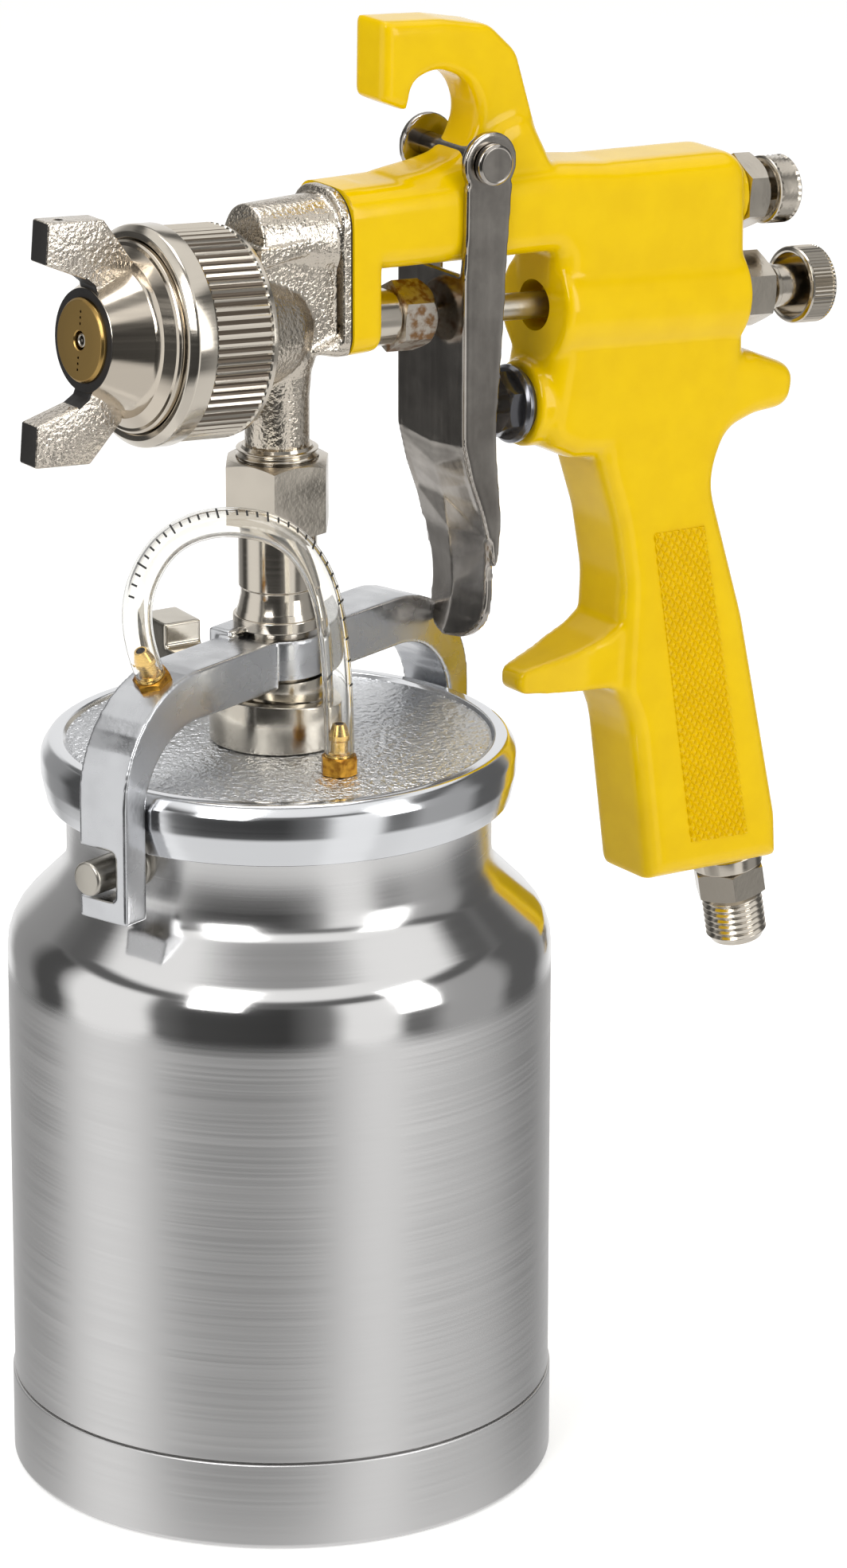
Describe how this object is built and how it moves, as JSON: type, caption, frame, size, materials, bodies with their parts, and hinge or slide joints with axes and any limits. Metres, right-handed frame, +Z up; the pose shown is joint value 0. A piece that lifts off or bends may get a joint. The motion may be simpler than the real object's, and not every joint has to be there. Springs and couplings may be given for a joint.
{
  "type": "suction feed spray gun",
  "caption": "Suction-feed air spray gun with trigger, hanging hook, air cap and knobs, standing on a round metal cup with a clamp-yoke lid and a vent hose.",
  "frame": {"origin": "centre of the cup's foot, on the surface it stands on", "axes": "+Z up along the cup's axis, -X the way the nozzle points, gun's middle plane XZ"},
  "size_m": [0.1955, 0.1118, 0.2996],
  "materials": {
    "enamel": "gloss yellow enamel",
    "nickel": "satin nickel plate",
    "steel": "turned steel",
    "cup_aluminium": "brushed satin",
    "cast_aluminium": "cast, part polished",
    "brass": "turned",
    "black_steel": "gloss black",
    "clear_hose": "clear",
    "seal": "moulded seal",
    "spring_steel": "spring wire"
  },
  "bodies": {
    "cup": {"cup_body": "cup_aluminium", "cup_base_pan": "cup_aluminium", "neck_studs": "steel", "stud_washers": "steel", "lid": "cup_aluminium", "lid_gasket": "seal", "lid_barb": "brass", "fluid_tube": "nickel", "tube_lock_nut": "brass", "suction_tube": "steel", "vent_hose": "clear_hose"},
    "cam_lever": {"cam_lever": "nickel"},
    "cam_follower": {"cam_follower": "nickel"},
    "yoke": {"yoke": "cast_aluminium", "yoke_barb": "brass"},
    "coupling_nut": {"coupling_nut": "nickel"},
    "gun": {"gun_body": "enamel", "fluid_head": "nickel", "head_gasket": "seal", "fluid_nozzle": "brass", "needle_packing": "seal", "packing_nut": "steel", "needle_spring": "spring_steel", "fluid_guide": "steel", "fan_bush": "steel", "air_valve_gland": "black_steel", "air_valve_spring": "spring_steel", "air_inlet": "steel", "trigger_pivot_screw": "steel"},
    "retaining_ring": {"retaining_ring": "nickel"},
    "air_cap": {"air_cap": "nickel", "air_cap_insert": "brass"},
    "trigger": {"trigger": "nickel"},
    "needle": {"needle": "steel", "needle_collar": "steel"},
    "air_valve": {"air_valve_stem": "steel", "air_valve_disc": "brass"},
    "fluid_knob": {"fluid_knob": "steel"},
    "fan_knob": {"fan_knob": "steel", "fan_stem": "brass"}
  },
  "joints": [
    {"name": "cam_turn", "type": "hinge", "parent": "cup", "child": "cam_lever", "pos_m": [0, 0, 0.16], "axis": [0, 0, 1], "range_deg": [-25, 30]},
    {"name": "cam_lift", "type": "slide", "parent": "cup", "child": "cam_follower", "axis": [0, 0, 1], "range_m": [-0.0008, 0.0009]},
    {"name": "yoke_twist", "type": "hinge", "parent": "cup", "child": "yoke", "pos_m": [0, 0, 0.17], "axis": [0, 0, 1], "range_deg": [0, 14], "deforming": ["vent_hose"]},
    {"name": "nut_spin", "type": "hinge", "parent": "cup", "child": "coupling_nut", "pos_m": [0, 0, 0.206], "axis": [0, 0, 1], "continuous": true},
    {"name": "gun_swivel", "type": "hinge", "parent": "cup", "child": "gun", "pos_m": [0, 0, 0.22], "axis": [0, 0, 1], "range_deg": [-100, 0]},
    {"name": "ring_spin", "type": "hinge", "parent": "gun", "child": "retaining_ring", "pos_m": [-0.02392, 0, 0.24234], "axis": [0.9967, 0, -0.0807], "continuous": true},
    {"name": "cap_turn", "type": "hinge", "parent": "gun", "child": "air_cap", "pos_m": [-0.03489, 0, 0.24322], "axis": [0.9967, 0, -0.0807], "range_deg": [0, 90]},
    {"name": "trigger_pull", "type": "hinge", "parent": "gun", "child": "trigger", "pos_m": [0.044, 0, 0.2695], "axis": [0, -1, 0], "range_deg": [0, 9], "stiffness_Nm_per_rad": 0.5, "springref_deg": -5.73},
    {"name": "needle_slide", "type": "slide", "parent": "gun", "child": "needle", "axis": [0.9967, 0, -0.0807], "range_m": [0, 0.0058], "deforming": ["needle_spring"]},
    {"name": "air_valve_slide", "type": "slide", "parent": "gun", "child": "air_valve", "axis": [0.9967, 0, -0.0807], "range_m": [0, 0.0092], "deforming": ["air_valve_spring"]},
    {"name": "fluid_knob_turn", "type": "hinge", "parent": "gun", "child": "fluid_knob", "pos_m": [0.12958, 0, 0.22991], "axis": [0.9967, 0, -0.0807], "continuous": true},
    {"name": "fan_knob_turn", "type": "hinge", "parent": "gun", "child": "fan_knob", "pos_m": [0.12129, 0, 0.25145], "axis": [0.9967, 0, -0.0807], "continuous": true}
  ],
  "couplings": [
    {"joint": "cam_lift", "follows": "cam_turn", "m_per_rad": 0.001167},
    {"joint": "needle_slide", "follows": "trigger_pull", "m_per_rad": 0.035},
    {"joint": "air_valve_slide", "follows": "trigger_pull", "m_per_rad": 0.057}
  ]
}
